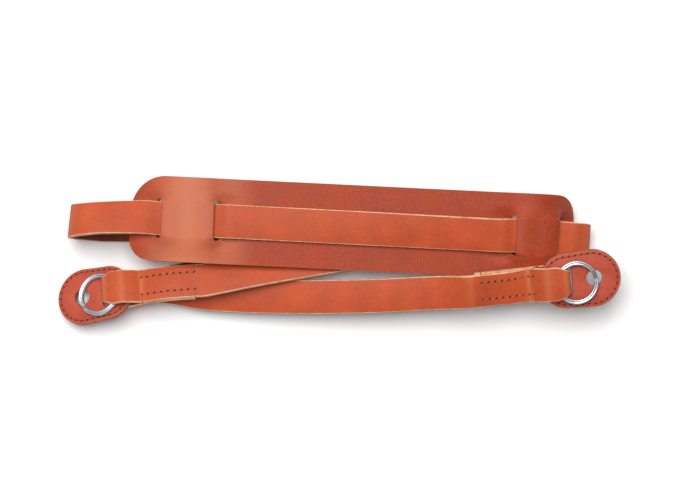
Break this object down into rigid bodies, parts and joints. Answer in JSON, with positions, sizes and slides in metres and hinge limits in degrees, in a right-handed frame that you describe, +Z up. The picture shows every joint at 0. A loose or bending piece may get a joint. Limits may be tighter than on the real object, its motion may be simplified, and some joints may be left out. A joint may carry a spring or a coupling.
{
  "type": "camera neck strap",
  "caption": "Leather camera neck strap threaded through a slotted shoulder pad, with stitched ends round split rings and egg-shaped leather tabs, folded flat",
  "frame": {"origin": "middle of the whole strap's box, at the level of the surface it lies on", "axes": "+X along the shoulder pad towards the end whose tab lies highest, +Y across the pad away from the tabs, +Z up from the surface"},
  "size_m": [0.2346, 0.0622, 0.0285],
  "materials": {
    "strap_leather": "matt smooth grain, pale cut edges",
    "pad_leather": "matt smooth grain, pale cut edges",
    "tab_leather": "matt smooth grain, stitched round the edge",
    "nickel": "plain polished nickel"
  },
  "bodies": {
    "root": {"strap": "strap_leather", "shoulder_pad": "pad_leather", "tab_left": "tab_leather", "tab_right": "tab_leather", "ring_left": "nickel", "ring_right": "nickel"}
  },
  "joints": []
}
